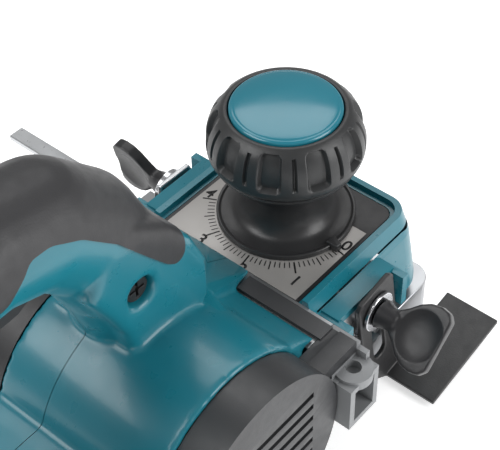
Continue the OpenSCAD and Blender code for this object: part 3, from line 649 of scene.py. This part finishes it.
eased("bracket_right", "seat_right", 0.4, zinc)
eased("bracket_left", "seat_left", 0.4, zinc)
eased("wing_washer_right", "washer_right_ring", 0.3, washer, "washer_right")
eased("wing_washer_left", "washer_left_ring", 0.3, washer, "washer_left")
eased("guide_bush", "guide_bushing", 0.2, steel, "bush")
eased("depth_guide", "rabbet_guide", 0.5, guide_black, "guide")
eased("fence_arm", "fence_bar", 0.5, zinc)
eased("fence_plate", "fence_face", 0.6, pale, "fence")
eased("blade_guard", "end_guard", 0.3, black, "guard")
eased("rear_foot", "rest_foot", 0.8, black, "foot", segments=3)
eased("foot_pin", "foot_axle", 0.2, steel)

# half widths of the wing along its stem, both in millimetres from the centre
wing_side = [
    (51.0, 5.5), (52.4, 5.4), (54.0, 4.2), (57.0, 4.2), (60.0, 6.6),
    (63.0, 9.8), (66.5, 12.0), (70.5, 12.7), (74.0, 12.0), (76.0, 9.4),
]
dish_mid, dish_wide, dish_tall = 68, 9.5, 8.5
screw_x, screw_z = 0.09, 0.049
for hand, sign, lean in (("right", -1, 41.3), ("left", 1, 101.5)):
    around = [(w, v) for v, w in wing_side] + [(-w, v) for v, w in reversed(wing_side)]
    wing = slab(around, -2.3, 2.3, 0)
    bpy.ops.object.select_all(action="DESELECT")
    bpy.ops.mesh.primitive_cylinder_add(
        vertices=40, radius=0.003, depth=0.016, location=(0, 0, 0.045)
    )
    stud = bpy.context.object
    bpy.ops.object.select_all(action="DESELECT")
    bpy.ops.mesh.primitive_cone_add(
        vertices=40, radius1=0.0056, radius2=0.0036, depth=0.0075, location=(0, 0, 0.0547)
    )
    stem = bpy.context.object
    for o in (stud, stem):
        pick(o)
        bpy.ops.object.transform_apply(location=True, rotation=True, scale=True)
    pick(wing, stud, stem)
    bpy.ops.object.join()
    apply(wing, "REMESH", mode="VOXEL", voxel_size=0.00045)
    apply(wing, "SMOOTH", factor=0.5, iterations=12)
    for v in wing.data.vertices:
        far = math.hypot(v.co.x * 1000 / dish_wide, (v.co.z * 1000 - dish_mid) / dish_tall)
        v.co.y *= 0.95 - 0.62 * max(0, 1 - far**3)
    a = math.radians(lean)
    for v in wing.data.vertices:
        u, w, along = v.co.x, v.co.y, v.co.z
        v.co = (
            screw_x + u * math.cos(a) - w * math.sin(a),
            sign * along,
            screw_z + u * math.sin(a) + w * math.cos(a),
        )
    outward(wing)
    pick(wing)
    bpy.ops.object.shade_smooth()
    body, node = "wing_" + hand, "wing_screw_" + hand
    settle(wing, "wing_" + hand, wing_black, body, [node])

# ---------------------------------------------------------------------------
# The white studio: a glowing white floor just under the soles, big soft lamps
# from the left, the right and above, and the camera close over the rear right.

paper = surface("studio paper", [0.9, 0.9, 0.9, 1], 0.8, 0.0, 0.01, 2, 40, 0.0, 0.0)
glow = paper.node_tree.nodes["Principled BSDF"].inputs
glow["Emission Color"].default_value = (1, 1, 1, 1)
glow["Emission Strength"].default_value = 0.55
floor_drop = 0.0005
floor = fresh("plane", size=6)
for v in floor.data.vertices:
    v.co.z = -floor_drop
floor.name = "floor"
floor.data.materials.append(paper)

world = bpy.context.scene.world or bpy.data.worlds.new("studio")
bpy.context.scene.world = world
world.use_nodes = True
sky = world.node_tree.nodes["Background"].inputs
sky["Color"].default_value = (1, 1, 1, 1)
sky["Strength"].default_value = 0.33


def lamp(name, at, to, size, watts):
    """A soft rectangular lamp at one point, facing another."""
    data = bpy.data.lights.new(name, "AREA")
    data.shape = "RECTANGLE"
    data.size, data.size_y = size
    data.energy = watts
    o = bpy.data.objects.new(name, data)
    bpy.context.scene.collection.objects.link(o)
    o.location = at
    o.rotation_mode = "QUATERNION"
    o.rotation_quaternion = (Vector(to) - Vector(at)).to_track_quat("-Z", "Y")


middle = (0.05, 0, 0.07)
lamp("left lamp", (-0.55, 0.35, 0.75), middle, (0.6, 0.6), 5)
lamp("right lamp", (0.35, -0.75, 0.45), middle, (0.5, 0.7), 5)
lamp("top lamp", (0.5, 0.35, 0.9), middle, (0.8, 0.5), 3)

eye = bpy.data.cameras.new("camera")
eye.lens = 92.22
eye.sensor_width = 36
eye.shift_x = -0.072
eye.shift_y = -0.068
camera = bpy.data.objects.new("camera", eye)
bpy.context.scene.collection.objects.link(camera)
camera.location = (-0.1585, -0.2105, 0.3912)
camera.rotation_mode = "QUATERNION"
camera.rotation_quaternion = Vector((0.5582, 0.4546, -0.6940)).to_track_quat("-Z", "Y")
eye.clip_start, eye.clip_end = 0.01, 20
bpy.context.scene.camera = camera
bpy.context.scene.view_settings.view_transform = "Standard"

rest()
